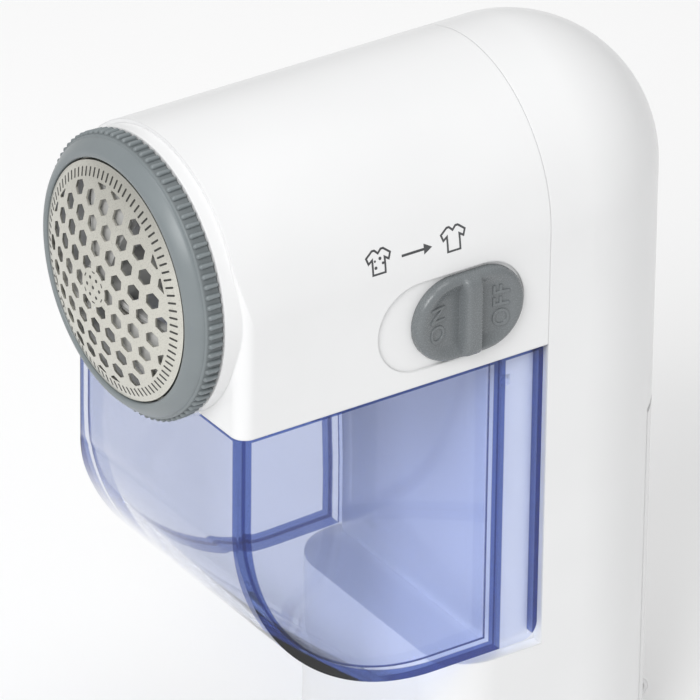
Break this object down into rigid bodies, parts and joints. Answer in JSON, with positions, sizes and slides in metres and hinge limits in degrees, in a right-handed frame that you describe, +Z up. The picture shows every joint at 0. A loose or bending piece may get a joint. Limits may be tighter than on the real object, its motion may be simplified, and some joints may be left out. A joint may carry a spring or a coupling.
{
  "type": "fabric shaver",
  "caption": "Handheld battery fabric shaver with a domed perforated foil, a turning ring, a slide switch and a clear tinted lint container under a white head.",
  "frame": {"origin": "middle of the flat base of the handle", "axes": "+Z up along the handle; the foil faces -X; the switch is on the -Y side"},
  "size_m": [0.1048, 0.0523, 0.1367],
  "materials": {
    "white_gloss": "glossy white ABS",
    "grey_ring": "satin grey ABS",
    "foil_steel": "etched stainless steel",
    "grey_inner": "grey moulded plastic",
    "blade_steel": "ground steel",
    "steel": "plated steel",
    "motor_steel": "zinc plated steel",
    "magnet": "ferrite",
    "lamination": "stacked laminations",
    "copper": "enamelled copper",
    "brass": "brass and bronze",
    "ivory_inner": "moulded nylon",
    "white_inner": "unpolished white plastic",
    "black_inner": "black moulded plastic",
    "grey_knob": "satin grey ABS",
    "blue_clear": "clear tinted polystyrene",
    "cell_sleeve": "printed cell sleeve",
    "lead_red": "PVC insulation",
    "lead_black": "PVC insulation"
  },
  "bodies": {
    "body": {"head_housing": "white_gloss", "handle_shell": "white_gloss", "cover_hinge_pin": "steel", "motor_can": "motor_steel", "motor_magnets": "magnet", "motor_end_cap": "ivory_inner", "motor_brushes": "brass", "motor_bushes": "brass", "motor_bulkhead": "white_inner", "motor_screws": "steel", "bulkhead_screws": "steel", "switch_case": "black_inner", "switch_terminals": "brass", "cell_a": "cell_sleeve", "cell_b": "cell_sleeve", "battery_tray": "white_inner", "contact_bridge": "steel", "contact_plates": "steel", "contact_springs": "steel", "lead_red": "lead_red", "lead_black": "lead_black", "lead_motor": "lead_red", "housing_screws": "steel"},
    "rotor": {"cutter_carrier": "grey_inner", "cutter_blades": "blade_steel", "cutter_spring": "steel", "drive_shaft": "steel", "armature_core": "lamination", "armature_windings": "copper", "commutator": "copper"},
    "foil_unit": {"foil": "foil_steel", "foil_clamp_ring": "grey_ring"},
    "ring": {"head_ring": "grey_ring"},
    "knob": {"switch_knob": "grey_knob", "switch_slider": "black_inner"},
    "container": {"lint_container": "blue_clear"},
    "cover": {"battery_cover": "white_gloss"}
  },
  "joints": [
    {"name": "rotor_spin", "type": "hinge", "parent": "body", "child": "rotor", "pos_m": [-0.05485, 0, 0.112], "axis": [1, 0, 0], "continuous": true},
    {"name": "foil_lift", "type": "slide", "parent": "body", "child": "foil_unit", "axis": [-1, 0, 0], "range_m": [0, 0.0046]},
    {"name": "ring_turn", "type": "hinge", "parent": "foil_unit", "child": "ring", "pos_m": [-0.07485, 0, 0.112], "axis": [1, 0, 0], "range_deg": [0, 150]},
    {"name": "knob_slide", "type": "slide", "parent": "body", "child": "knob", "axis": [-1, 0, 0], "range_m": [0, 0.006]},
    {"name": "container_slide", "type": "slide", "parent": "body", "child": "container", "axis": [-1, 0, 0], "range_m": [0, 0.045]},
    {"name": "cover_hinge", "type": "hinge", "parent": "body", "child": "cover", "pos_m": [0.02405, 0, 0.0078], "axis": [0, 1, 0], "range_deg": [0, 80]}
  ],
  "couplings": [
    {"joint": "foil_lift", "follows": "ring_turn", "m_per_rad": 0.001719}
  ]
}
